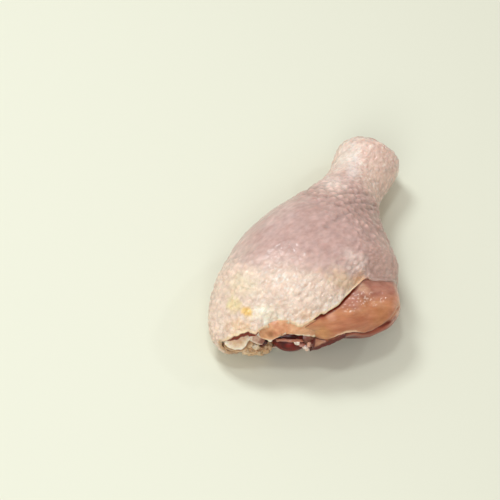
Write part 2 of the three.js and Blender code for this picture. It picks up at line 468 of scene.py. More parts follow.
def resurfaced(source: bpy.types.Object, voxel: float, smoothing: int) -> Surface:
    """Covers a solid with small even quads and rounds its facets off.

    Args:
        source: the solid.
        voxel: the side of a quad.
        smoothing: how many times the points move to the middle of their neighbours.

    Returns:
        The new surface, in millimetres.
    """
    rough = bpy.data.objects.new("rough", source.data.copy())
    bpy.context.scene.collection.objects.link(rough)
    remesh = rough.modifiers.new("voxels", "REMESH")
    remesh.mode = "VOXEL"
    remesh.voxel_size = voxel * MM
    relax = rough.modifiers.new("relax", "SMOOTH")
    relax.factor = 0.5
    relax.iterations = smoothing
    view = bpy.context.evaluated_depsgraph_get()
    mesh = bpy.data.meshes.new_from_object(rough.evaluated_get(view))
    points = np.empty(len(mesh.vertices) * 3, np.float32)
    mesh.vertices.foreach_get("co", points)
    normals = np.empty(len(mesh.vertices) * 3, np.float32)
    mesh.vertex_normals.foreach_get("vector", normals)
    corners = np.empty(len(mesh.loops), np.int32)
    mesh.loops.foreach_get("vertex_index", corners)
    old = rough.data
    bpy.data.objects.remove(rough)
    bpy.data.meshes.remove(old)
    bpy.data.meshes.remove(mesh)
    return Surface(points.reshape(-1, 3) / MM, corners.reshape(-1, 4), normals.reshape(-1, 3))


def ring_faces(rows: int, columns: int) -> Array:
    """Makes the quads of a grid that is closed along its rows and its columns.

    Args:
        rows: how many rows of points there are.
        columns: how many points a row has.

    Returns:
        Four point numbers for each quad.
    """
    row, column = np.indices((rows, columns))
    below, beside = (row + 1) % rows * columns, (column + 1) % columns
    corners = [row * columns + column, row * columns + beside, below + beside, below + column]
    return np.stack(corners, axis=-1).reshape(-1, 4)


def facing(grid: Array) -> Array:
    """Gives the way that a grid of points faces at each of them."""
    return unit(np.cross(np.gradient(grid, axis=1), np.gradient(grid, axis=0)))


def thin_sheet(middle: Array, thickness: Array) -> tuple[Array, Array]:
    """Gives a grid of points a thickness.

    Args:
        middle: the grid, rows by columns.
        thickness: the thickness at each of its points.

    Returns:
        The points and the quads of a closed shell.
    """
    rows, columns = middle.shape[:2]
    half = facing(middle) * thickness[..., None] / 2
    number = np.arange(rows * columns).reshape(rows, columns)
    corners = [number[:-1, :-1], number[1:, :-1], number[1:, 1:], number[:-1, 1:]]
    quads = np.stack(corners, axis=-1).reshape(-1, 4)
    border = np.concatenate([number[0, :-1], number[:-1, -1], number[-1, :0:-1], number[:0:-1, 0]])
    after = np.roll(border, -1)
    behind = rows * columns
    hem = np.stack([border, after, after + behind, border + behind], axis=-1)
    points = np.concatenate([(middle + half).reshape(-1, 3), (middle - half).reshape(-1, 3)])
    return points, np.concatenate([quads, quads[:, ::-1] + behind, hem])


# The shape of the leg


@dataclass(frozen=True)
class Section:
    """A section across the body: its widest points, and the heights of these, the crest and the keel."""

    left: Spot
    right: Spot
    widest: float
    crest: float
    keel: float


@dataclass(frozen=True)
class CutRow:
    """A point of the skin's cut edge and the way that the skin heads there."""

    edge: Point
    heading: Point


# From the hock to the waist.
SECTIONS = (
    Section((-0.4, 65.6), (20.4, 64.4), 11, 20, 3),
    Section((-3.4, 58.0), (24.4, 58.6), 12, 26.5, -0.6),
    Section((-4.0, 49.0), (23.0, 50.0), 12, 26.3, -0.4),
    Section((-6.5, 40.0), (20.8, 41.5), 12.5, 26.5, 0.4),
    Section((-13.0, 28.0), (20.2, 33.5), 14, 29.5, -0.6),
    Section((-21.5, 15.5), (21.8, 24.0), 15.5, 34.5, -2),
    Section((-29.5, 2.5), (25.2, 15.0), 16.5, 39, -3.4),
    Section((-35.0, -11.5), (29.2, 7.0), 17, 42, -4),
    Section((-38.0, -27.0), (33.0, 0.0), 17.5, 43, -4),
)

# Once round the cut end, from the right over the top.
CUT_EDGE = (
    CutRow((36.6, -6, 16), (0.45, -1, -0.1)),
    CutRow((32, -13, 27), (0.3, -1, 0)),
    CutRow((22.5, -22, 33.3), (0.15, -1, -0.15)),
    CutRow((11.5, -40.5, 33.3), (0, -1, -0.4)),
    CutRow((-1, -51.4, 30.3), (0, -1, -0.6)),
    CutRow((-10.5, -52.2, 28.4), (0, -1, -0.7)),
    CutRow((-18.5, -55.8, 23.5), (0.1, -1, -0.9)),
    CutRow((-25, -57.8, 19.5), (0.3, -1, -1)),
    CutRow((-30, -57, 13), (1, -0.5, -0.1)),
    CutRow((-26.5, -56.5, 8.5), (0.6, -0.2, 1)),
    CutRow((-20, -51.8, 5.5), (0.2, -0.6, 0.8)),
    CutRow((-9.5, -43.5, 1.5), (0.1, -1, 0.4)),
    CutRow((4.5, -37, 0.5), (0, -1, 0)),
    CutRow((16.5, -30, 0.5), (0, -1, 0)),
    CutRow((27, -18, 1.5), (0.15, -1, 0.1)),
    CutRow((34.6, -9, 7), (0.35, -1, 0.05)),
)


class LegForm:
    """The outside of the skin as a surface over station and turn.

    A station runs from 0 at the hock over 1 at the waist to 2 at the cut edge. A turn of 0 is on the
    right, a quarter is on the crest and a half on the left.
    """

    SAG = 2.5  # height over which the skin turns to lie flat
    WAIST_STEP = 0.02  # how far before the waist the way that the body heads there is taken
    COARSE_GRID = (25, 45)  # stations and turns at which the form is measured

    def __init__(self) -> None:
        """Reads the lines that the body hangs on, and lays the form over the plain skin."""
        self.left = np.array([(*s.left, s.widest) for s in SECTIONS], float)
        self.right = np.array([(*s.right, s.widest) for s in SECTIONS], float)
        middle = (self.left[:, :2] + self.right[:, :2]) / 2
        self.crest = np.column_stack([middle, [s.crest for s in SECTIONS]])
        self.keel = np.column_stack([middle, [s.keel for s in SECTIONS]])
        self.edge = np.array([row.edge for row in CUT_EDGE], float)
        self.heading = np.array([row.heading for row in CUT_EDGE], float)
        self.shift = np.zeros(3)
        stations, turns = np.linspace(0, 2, self.COARSE_GRID[0]), np.linspace(0, 1, self.COARSE_GRID[1])
        rough = self.at(*np.meshgrid(stations, turns, indexing="ij")).reshape(-1, 3)
        low, high = (np.array(corner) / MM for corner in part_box("skin"))
        self.shift = (low + high) / 2 - (rough.min(0) + rough.max(0)) / 2
        self.shift[2] = 0
        log.info("form moved by %s", self.shift)

    def body(self, station: Array, turn: Array) -> Array:
        """Works out points between hock and waist.

        Args:
            station: how far from the hock, up to 1.
            turn: how far round.

        Returns:
            The points, in the form's own frame.
        """
        right, left = spline(self.right, station), spline(self.left, station)
        centre = (right + left) / 2
        across = np.cos(TURN * turn)[..., None]
        up = np.sin(TURN * turn)[..., None]
        sideways = np.where(across > 0, right, left) - centre
        upright = np.where(up > 0, spline(self.crest, station), spline(self.keel, station)) - centre
        return centre + abs(across) * sideways + abs(up) * upright

    def loft(self, station: Array, turn: Array) -> Array:
        """Works out points between waist and cut edge.

        Args:
            station: how far from the hock, from 1 to 2.
            turn: how far round.

        Returns:
            The points, in the form's own frame.
        """
        waist = self.body(np.ones_like(station), turn)
        edge = spline(self.edge, turn, closed=True)
        reach = np.linalg.norm(edge - waist, axis=-1, keepdims=True)
        leaving = unit(waist - self.body(np.full_like(station, 1 - self.WAIST_STEP), turn)) * reach
        reaching = unit(spline(self.heading, turn, closed=True)) * reach
        s = (station - 1)[..., None]
        ends = (2 * s**3 - 3 * s**2 + 1) * waist + (3 * s**2 - 2 * s**3) * edge
        return ends + (s**3 - 2 * s**2 + s) * leaving + (s**3 - s**2) * reaching

    def at(self, station: Array, turn: Array) -> Array:
        """Works out points of the whole sleeve, pressed flat where it rests.

        Args:
            station: how far from the hock.
            turn: how far round, of the same shape.

        Returns:
            The points, in the model's frame.
        """
        body = self.body(np.minimum(station, 1), turn)
        loft = self.loft(np.maximum(station, 1), turn)
        points = np.where((station <= 1)[..., None], body, loft)
        height = points[..., 2]
        sagging = np.where(height < -self.SAG, 0, (height + self.SAG) ** 2 / (4 * self.SAG))
        points[..., 2] = np.where(height > self.SAG, height, sagging)
        return points + self.shift


# The skin


@dataclass(frozen=True)
class Crease:
    """A fold pressed into the upper side of the skin."""

    path: tuple[Spot, ...]
    depth: float
    width: float


@dataclass(frozen=True)
class Sleeve:
    """The smooth sleeve as a grid of rows that go once round, from the hock to the cut edge."""

    points: Array
    turn: Array
    outward: Array  # the way out of the skin
    ahead: Array  # the way to the cut edge
    to_edge: Array  # how far off the cut edge is
    to_hock: Array  # how far off the edge at the hock is


@dataclass(frozen=True)
class Zones:
    """How much of each kind of skin there is at each point."""

    cream: Array  # over fat
    knuckle: Array
    smooth: Array  # stretched, with flat pimples
    neck: Array  # creased, next to the knuckle
    flush: Array  # the redder right side


@dataclass(frozen=True)
class Relief:
    """How far the skin stands out from its smooth form, and what of."""

    height: Array
    pimple: Array  # from 0 between the pimples to 1 on top of one
    crease: Array  # from 0 beside the creases to 0.8 at the bottom of the deepest ones


@dataclass(frozen=True)
class SkinTones:
    """The colours that the skin takes from what lies under it."""

    muscle: str = "#CBAAA1"  # mauve, over dark muscle
    flush: str = "#BC9A8E"  # right side and neck
    knuckle: str = "#EACBBB"
    cream: str = "#EFD8C5"  # over fat
    # painted glints of the water film
    skin_glint: str = "#FFF8EE"
    rim: str = "#FFDEB6"  # the cut edge: its cream, lightened as painted light where the edge rounds away from the lamps
    lip: str = "#BE9058"  # dried fat on the lower lip
    inside: str = "#B98468"
    hock_rim: str = "#CB9684"
    washes: tuple[Wash, ...] = (
        # the knuckle's whiter upper left, partly a painted highlight
        Wash("#F2E2D4", (1.5, 43, 25), (9, 12, 9), 0.85),
        # painted highlight: a streak down the left of the knuckle
        Wash("#F2E6DF", (6, 34, 27), (3.5, 9, 5), 0.6),
        Wash("#E6C9B6", (16, 33, 24), (7, 14, 9), 0.6),
        Wash("#E6CEC4", (-2, 25, 30), (7, 11, 9), 0.75),
        Wash("#B08F85", (14, 6, 35), (10, 7, 9), 0.2),
        Wash("#F4DCD0", (1.5, 20, 32), (6, 7, 7), 0.9),
        Wash("#DEC2B4", (0.5, 13, 35), (8, 6, 7), 0.7),
        Wash("#D9BDB6", (-19, -10, 38), (9, 13, 9), 0.6),
        Wash("#E6CAA8", (12, -34.5, 37), (10, 6, 6), 0.8),
        Wash("#D0AEA2", (28, -12, 29), (9, 17, 12), 0.65),
        Wash("#E8CFC3", (15, -25, 37), (9, 7, 7), 0.8),
        Wash("#E6B48A", (20.5, -29.5, 34.5), (5, 4, 5), 0.85),
        Wash("#F0C8A2", (4, -53, 31.5), (9, 3.5, 3.5), 0.5),
        Wash("#E0C8BC", (-29, -28, 28), (8, 13, 12), 0.4),
        Wash("#B9988E", (-5, -3, 39), (8, 6, 7), 0.45),
        # brighter cream below the cut edge, partly a painted highlight
        Wash("#FFF3DC", (-14.5, -55, 29), (8, 4.5, 5), 0.85),
        Wash("#F2E4BE", (-26, -44, 31), (9, 7, 7), 0.5),
        Wash("#E6BE8E", (-24, -60, 23), (9, 4, 5), 0.6),
        Wash("#ECD898", (-28.2, -52.2, 26.5), (4.2, 4.0, 3.8), 0.65),  # two spots of yellow fat
        Wash("#EFC45A", (-22.4, -54.6, 27.7), (3.2, 2.6, 2.8), 0.8),
    )


@dataclass(frozen=True)
class Skin:
    """The sleeve of skin, with its pimples, creases and cut edges."""

    tones: SkinTones = SkinTones()
    thickness: float = 1.7
    edge_thickness: float = 0.7
    taper: float = 6.0  # how far from its edge the skin gets thinner
    clearance: float = 0.15  # between the laid down edge and the meat
    grown_on: float = 0.5  # how far the edge lies in the meat on the right, where it isn't loose
    hock_station: float = 0.012  # of the edge at the hock
    edge_station: float = 1.985  # of the cut edge, before it is torn
    grown_shift: float = 0.035  # how much further the edge reaches on the right, where it isn't loose
    wander_limit: float = 0.024  # how far the cut edge wanders towards the knee at most
    corner_turn: float = 0.134  # where the loose part of the edge begins with a corner
    underside: Spot = (0.4, 0.94)  # the turns between which the edge isn't laid on the meat
    ray_start: float = 5  # how far outside the edge the search for the meat starts
    ray_reach: float = 12.0
    # How far the cut edge is shifted towards the knee, by turn. Outside the list it isn't shifted.
    tear: tuple[Spot, ...] = (
        (0.1, 0), (0.116, -0.017), (0.126, -0.09), (0.137, -0.095), (0.147, -0.054), (0.158, -0.048),
        (0.168, -0.042), (0.179, 0), (0.196, 0), (0.2045, 0.02), (0.21, -0.02), (0.216, -0.004),
        (0.224, 0.02), (0.232, 0.032), (0.242, 0.048), (0.253, 0.028), (0.263, -0.005), (0.274, -0.026),
        (0.284, -0.019), (0.295, 0), (0.347, 0.01), (0.358, 0.024), (0.368, 0.03), (0.379, 0.01),
        (0.39, -0.01), (0.41, -0.018), (0.455, -0.016), (0.48, 0),
    )
    around: int = 380
    body_rows: int = 170
    loft_rows: int = 84
    rim_rows: int = 5
    lining_fine: tuple[int, int] = (10, 13)  # rows of the inside kept at the hock and at the cut edge
    lining_step: int = 6  # of the rows between, one in so many
    belly: tuple[Spot, ...] = ((-25.0, -14.0), (7.0, -18.0))  # where the skin is stretched smooth
    pimples_around: int = 34
    pimple_rows: int = 46
    pimples_end: float = 1.97  # the last station with pimples
    pimple_radius: float = 1.0
    pimple_height: float = 0.46
    furrow_width: float = 0.7  # of the furrows between the pimples
    furrow_depth: float = 0.26
    sunk: float = 0.3  # how far the relief is lowered as a whole, to stay near the plain skin
    over_calf: float = 0.16  # how much less it is lowered on the right, to keep the calf covered
    creases: tuple[Crease, ...] = (
        Crease(((1.0, -12.0), (4.5, -6.0), (7.6, -0.5), (13.3, 6.5), (19.9, 16.3)), 0.5, 1.0),
        Crease(((3.0, 3.0), (9.0, 8.5), (15.0, 14.0), (19.0, 20.0)), 0.5, 0.8),
        Crease(((-2.0, 8.0), (4.0, 13.5), (11.0, 18.0), (17.0, 24.0)), 0.45, 0.8),
        Crease(((0.5, 16.0), (6.5, 20.0), (14.0, 23.0)), 0.4, 0.7),
        Crease(((12.0, -18.0), (17.0, -10.0), (22.0, -2.0), (24.5, 6.0)), 0.2, 0.9),
    )

    GRAIN = turned(50)  # the fine wrinkles run up to the right
    NECK_GRAIN = turned(-55)

    def sleeve(self, form: LegForm) -> Sleeve:
        """Lays the grid out.

        Args:
            form: the outside of the leg.

        Returns:
            The smooth sleeve.
        """
        turn = np.arange(self.around) / self.around
        ring = np.stack([np.cos(TURN * turn), np.sin(TURN * turn), np.zeros_like(turn)], axis=-1)
        torn = ramp(turn, 0.06, 0.16) * ramp(turn, 1.0, 0.9)
        wander = 0.012 * noise(ring + 7.3, 0.24) + 0.014 * noise(ring + 3.1, 0.09)
        wander += 0.009 * noise(ring + 1.7, 0.035)
        edge = self.edge_station + np.minimum(wander, self.wander_limit) * torn
        edge = edge + self.grown_shift * ramp(turn, 0.13, 0.1) + np.interp(turn, *np.array(self.tear).T)
        hock = self.hock_station + 0.01 * noise(ring + 5.7, 0.3)
        body = np.linspace(0, 1, self.body_rows)[:, None]
        loft = np.linspace(0, 1, self.loft_rows)[1:, None]
        station = np.vstack([hock + (1 - hock) * body, 1 + (edge - 1) * loft])
        turn = np.broadcast_to(turn, station.shape)
        points = form.at(station, turn)
        along = np.gradient(points, axis=0)
        beside = (np.roll(points, -1, axis=1) - np.roll(points, 1, axis=1)) / 2
        steps = np.linalg.norm(np.diff(points, axis=0), axis=-1)
        start = np.zeros((1, self.around))
        to_edge = np.vstack([np.cumsum(steps[::-1], axis=0)[::-1], start])
        to_hock = np.vstack([start, np.cumsum(steps, axis=0)])
        return Sleeve(points, turn, unit(np.cross(beside, along)), unit(along), to_edge, to_hock)

    def zones(self, points: Array) -> Zones:
        """Tells where the skin lies over fat, over muscle, and where it is flushed.

        Args:
            points: the points of the skin.

        Returns:
            The kinds of skin.
        """
        x, y, z = np.moveaxis(points, -1, 0)
        wander = 3.0 * noise(points, 12.0) + 2.2 * noise(points + 40, 3.5)
        side = ramp(x, -26, -37) * 12 + ramp(z, 22, 6) * 12
        cream = 0.2 * ramp(y - side - wander, -24, -36) + 0.8 * ramp(y - side - wander, -34, -42)
        knuckle = ramp(y + 1.5 * wander, 16, 38)
        flush = ramp(x + wander, 10, 30) * ramp(y, 36, 20) * (1 - cream)
        neck = ramp(np.abs(y - 11 + 0.5 * x) + wander, 13, 4) * ramp(z, 12, 24)
        off_belly = distance_to_path(points[..., :2], self.belly) + wander
        smooth = np.maximum(ramp(x + 0.6 * y, 2, -18), ramp(off_belly, 12, 6)) * (1 - cream)
        smooth = np.maximum(smooth, np.maximum(0.8 * knuckle, 0.6 * ramp(x, 18, 26) * ramp(y, 6, -4)))
        return Zones(cream, knuckle, smooth, neck, np.maximum(flush, 0.5 * neck))

    def pimple_places(self, form: LegForm) -> Array:
        """Sets the pimples out in staggered rows with some unevenness.

        Args:
            form: the outside of the leg.

        Returns:
            Their middles, one to a row.
        """
        draw = np.random.default_rng(SEED)
        row, column = np.indices((self.pimple_rows, self.pimples_around))
        station = self.pimples_end * (row + 0.5 + 0.25 * draw.normal(size=row.shape)) / self.pimple_rows
        turn = (column + (row % 2) / 2 + 0.16 * draw.normal(size=row.shape)) / self.pimples_around
        return form.at(np.clip(station, 0, self.pimples_end), turn % 1).reshape(-1, 3)

    def relief(self, points: Array, pimples: Array, zones: Zones) -> Relief:
        """Works out how far the skin stands out from its smooth form.

        Args:
            points: the points of the smooth form.
            pimples: the middles of the pimples.
            zones: the kinds of skin.

        Returns:
            The relief.
        """
        cream, smooth = zones.cream, zones.smooth
        # Pimples with furrows between them, flatter over fat and where the skin is stretched.
        near, next_near = distances_to_places(points, pimples)
        pimple = bell(near, self.pimple_radius) * (self.pimple_height - 0.34 * smooth - 0.14 * cream)
        furrow = bell(next_near - near, self.furrow_width) * (self.furrow_depth - 0.2 * smooth)
        # Broad lumps, and fine wrinkles over fat, over muscle, on the knuckle and across the neck.
        lumps = 0.5 * noise(points, 19) + 0.26 * noise(points + 9, 8)
        drawn = points @ self.GRAIN
        rough = cream * (0.4 + 0.2 * noise(drawn, (3.2, 1.9, 2.4)) + 0.17 * noise(drawn, (1.9, 1.1, 1.4)))
        rough += (1 - cream) * (0.07 * noise(drawn, (3.0, 1.6, 2.0)) + 0.04 * noise(points, 1.3))
        wrinkles = 0.22 * noise(drawn, (6.0, 2.4, 3.5)) + 0.12 * noise(drawn, (3.0, 1.4, 2.0))
        rough += zones.knuckle * wrinkles
        rough += zones.neck * 0.3 * noise(points @ self.NECK_GRAIN, (6.0, 2.0, 3.0))
        height = lumps + pimple - furrow + rough - self.sunk
        height += self.over_calf * ramp(points[..., 0], 18, 26)
        creased = np.zeros(height.shape)
        upper = ramp(points[..., 2], 10, 20)
        wander = 0.9 * noise(points, 3.0)
        for crease in self.creases:  # each with a low ridge beside it
            far = distance_to_path(points[..., :2], crease.path) + wander
            pressed = bell(far, crease.width) * upper
            height -= crease.depth * pressed
            height += 0.5 * crease.depth * bell(far - 2 * crease.width, crease.width) * upper
            creased = np.maximum(creased, min(1, 1.6 * crease.depth) * pressed)
        return Relief(height * ramp(points[..., 2], 0.2, 5), pimple / self.pimple_height, creased)

    def stands_off(self, sleeve: Sleeve, meat: BVHTree) -> Array:
        """Measures how far the upper half of the cut edge stands off the meat.

        Args:
            sleeve: the smooth sleeve.
            meat: the surface of the meat.

        Returns:
            A distance for each point of the edge, which is 0 where the edge isn't to lie on the meat.
        """
        turn, edge, outward = sleeve.turn[-1], sleeve.points[-1], sleeve.outward[-1]
        starts = edge + self.ray_start * outward
        rays = [(Vector(start), Vector(-way)) for start, way in zip(starts, outward)]
        hits = [meat.ray_cast(*ray, self.ray_reach)[3] for ray in rays]
        low, high = self.underside
        known = np.array([hit is not None and not low < spot < high for hit, spot in zip(hits, turn)])
        gaps = np.array([hit or 0.0 for hit in hits]) - self.ray_start
        gaps = gaps - self.edge_thickness - self.clearance
        gaps = np.clip(np.interp(turn, turn[known], gaps[known], period=1), -1.5, 3.0)
        blur = range(-4, 5)
        gaps = sum(np.roll(gaps, step) for step in blur) / len(blur)
        log.info("cut edge stands %.1f to %.1f mm off the meat", gaps.min(), gaps.max())
        return gaps * np.maximum(ramp(turn, 0.37, 0.33), ramp(turn, 0.92, 0.95))

    def curl(self, sleeve: Sleeve, meat: BVHTree) -> Array:
        """Works out how far the whole thickness of the skin bends out near its edges.

        Args:
            sleeve: the smooth sleeve.
            meat: the surface of the meat.

        Returns:
            A distance for each point, less than 0 where the skin bends in.
        """
        points, turn, to_edge = sleeve.points, sleeve.turn, sleeve.to_edge
        loose = ramp(points[..., 2], 12, 22) * ramp(turn, 0.08, 0.15)
        held = np.maximum(ramp(turn, 0.125, 0.11), ramp(turn, 0.9, 0.95))
        curl = (0.15 + 0.25 * noise(points, 7)) * ramp(to_edge, 2.6, 0) * loose
        curl += 0.3 * ramp(to_edge, 2.5, 0) * ramp(np.abs(turn - self.corner_turn), 0.015, 0)
        curl -= self.stands_off(sleeve, meat) * ramp(to_edge, 9.0, 0)
        curl -= self.grown_on * ramp(to_edge, 2.0, 0.3) * held
        return curl + 0.5 * ramp(sleeve.to_hock, 2.5, 0) * noise(points, 5)

    def build(self, form: LegForm, meat: BVHTree) -> Array:
        """Makes the sleeve, which replaces the plain one.

        Args:
            form: the outside of the leg.
            meat: the surface of the meat.

        Returns:
            The inner line of the cut edge, once round.
        """
        sleeve = self.sleeve(form)
        zones = self.zones(sleeve.points)
        relief = self.relief(sleeve.points, self.pimple_places(form), zones)
        curl = self.curl(sleeve, meat)
        off_rims = np.minimum(sleeve.to_edge, sleeve.to_hock)
        outer = sleeve.points + sleeve.outward * (relief.height * ramp(off_rims, 0, 1.2) + curl)[..., None]
        thicker = self.thickness - self.edge_thickness
        thick = self.edge_thickness + thicker * ramp(off_rims, 0, self.taper)
        inner = sleeve.points + sleeve.outward * (curl - thick)[..., None]
        lining = self.lining_rows(len(outer))
        angles = np.linspace(0, math.pi, self.rim_rows + 2)[1:-1, None, None]
        rims = []
        for end, way in ((-1, 1), (0, -1)):  # the cut edge, then the hock, where it runs the other way
            round_off = sleeve.outward[end] * np.cos(angles) + sleeve.ahead[end] * np.sin(angles)
            rims.append((outer[end] + inner[end]) / 2 + way * thick[end][:, None] / 2 * round_off)
        points = np.vstack([outer, rims[0], inner[lining], rims[1]])
        points[..., 2] = np.maximum(points[..., 2], 0)
        outside = self.shade(sleeve, zones, relief)
        rest = [outside[-1]] * self.rim_rows
        rest += [np.broadcast_to(rgb(self.tones.inside), outside[0].shape)] * len(lining)
        rest += [np.broadcast_to(rgb(self.tones.hock_rim), outside[0].shape)] * self.rim_rows
        coarse = np.full(points.shape[:2], 0.6)
        coarse[: len(outer)] = 0.9 + 0.9 * zones.cream + 0.3 * zones.flush - 0.5 * zones.smooth
        coarse[: len(outer)] += 0.9 * zones.knuckle
        tint = np.vstack([outside, rest]).reshape(-1, 3)
        faces = ring_faces(len(points), self.around)
        made = piece("skin_sleeve", points, faces, WET_SKIN, tint, coarse.ravel())
        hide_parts("skin")
        return inner[-1]

    def lining_rows(self, count: int) -> list[int]:
        """Picks the rows of the inside, which needs fewer than the outside away from its ends.

        Args:
            count: how many rows the outside has.

        Returns:
            Their numbers, from the cut edge back to the hock.
        """
        hock_end, edge_start = self.lining_fine[0], count - self.lining_fine[1]
        kept = [i for i in range(count) if not hock_end <= i < edge_start or i % self.lining_step == 0]
        return kept[::-1]

    def shade(self, sleeve: Sleeve, zones: Zones, relief: Relief) -> Array:
        """Colours the outside.

        Args:
            sleeve: the smooth sleeve.
            zones: the kinds of skin.
            relief: its relief.

        Returns:
            A linear colour for each point.
        """
        points, to_edge = sleeve.points, sleeve.to_edge
        x, _, z = np.moveaxis(points, -1, 0)
        drawn = points @ self.GRAIN
        # Painted glints of the water film, as small flecks over the fat and the knuckle.
        skin_glints = ramp(noise(drawn, (1.7, 0.9, 1.2)) + 0.4 * noise(points, 9), 0.2, 0.6)
        glint_zone = np.maximum(zones.cream * ramp(x, -30, -12), 0.6 * zones.knuckle)
        color = painted(points, self.tones.muscle, (
            (self.tones.flush, 0.9 * zones.flush),
            (self.tones.knuckle, zones.knuckle),
            (self.tones.cream, zones.cream),
            *(wash.over(points) for wash in self.tones.washes),
            (self.tones.skin_glint, 0.75 * skin_glints * glint_zone),
            (self.tones.hock_rim, ramp(sleeve.to_hock, 1.6, 0.5)),
            # The cut edge: its own cream, lightened as painted light where it rounds away from the lamps.
            (self.tones.rim, 0.9 * ramp(to_edge, 1.3, 0.5) * ramp(x, 22, 16) * ramp(z, 12, 18)),
            (self.tones.lip, 0.7 * ramp(to_edge, 1.8, 0.7) * ramp(z, 16, 13) * ramp(x, -12, -16)),
        ))
        blotches = 0.06 * noise(points, 6) + 0.14 * noise(drawn, (3.4, 2.0, 2.4))
        blotches = blotches + 0.1 * noise(drawn, (1.6, 1.0, 1.2))
        # Lighter on the pimples and darker between them: partly the skin's own colour, partly painted
        # shade. The creases are darkened as painted shade too.
        pimple_tint_and_shade = 0.14 * (relief.pimple - 0.25) + 0.2 * zones.neck * (relief.pimple - 0.05)
        return color * (1 + blotches + pimple_tint_and_shade - 0.2 * relief.crease)[..., None]


# The meat


@dataclass(frozen=True)
class MuscleTones:
    """The colours of the bare muscles."""

    calf: str = "#D1936A"
    calf_top: str = "#C08772"  # mauve, next to the skin
    calf_low: str = "#C88765"
    calf_underside_shade: str = "#6A1606"  # painted shade below the calf's lower border
    band: str = "#A8543A"  # under the calf on the right
    film: str = "#DFAE82"  # under the white film behind the knee
    deep: str = "#6A1206"  # dark muscle between bone and skin
    calf_glint: str = "#FFEDE2"  # painted glints of the calf's water film
    blood_and_crevice_shade: str = "#7E2608"  # dried blood and painted shade in the crevice under the skin's edge
    step: str = "#A0563C"  # a lower strip of muscle that shows below the calf
    seam: str = "#FBDDBC"  # painted rim light along the calf's lower border, where its film ends
    washes: tuple[Wash, ...] = (
        Wash("#E6B99A", (20.5, -31, 31.5), (5, 3.2, 3), 0.9),
        Wash("#D29A88", (17.5, -40, 32), (6, 5, 4), 0.7),
        Wash("#E6BCA6", (37, -25, 20), (3.5, 10, 8), 0.75),
        Wash("#8E2C1C", (-1.6, -53.5, 12.8), (3.4, 2, 1.2), 0.6),
        # near black: painted shade at the left edge of the deep muscle
        Wash("#2E0603", (-6.5, -53.6, 12.4), (3, 2, 1.8), 0.7),
        Wash("#9A5030", (8.7, -48.5, 25), (3, 3, 2.2), 0.6),
        Wash("#C48A52", (30, -36, 24), (6, 6, 3.5), 0.5),
        Wash("#A8664C", (14, -46, 27.5), (5, 4, 2.5), 0.5),
        Wash("#D6A068", (10, -52, 23.5), (6, 3, 3.4), 0.7),
        Wash("#B05C44", (8.3, -50.1, 29.8), (2.4, 2, 1.6), 0.7),
        Wash("#E0AC90", (11.6, -48.4, 29.8), (2.4, 2, 1.6), 0.8),
    )


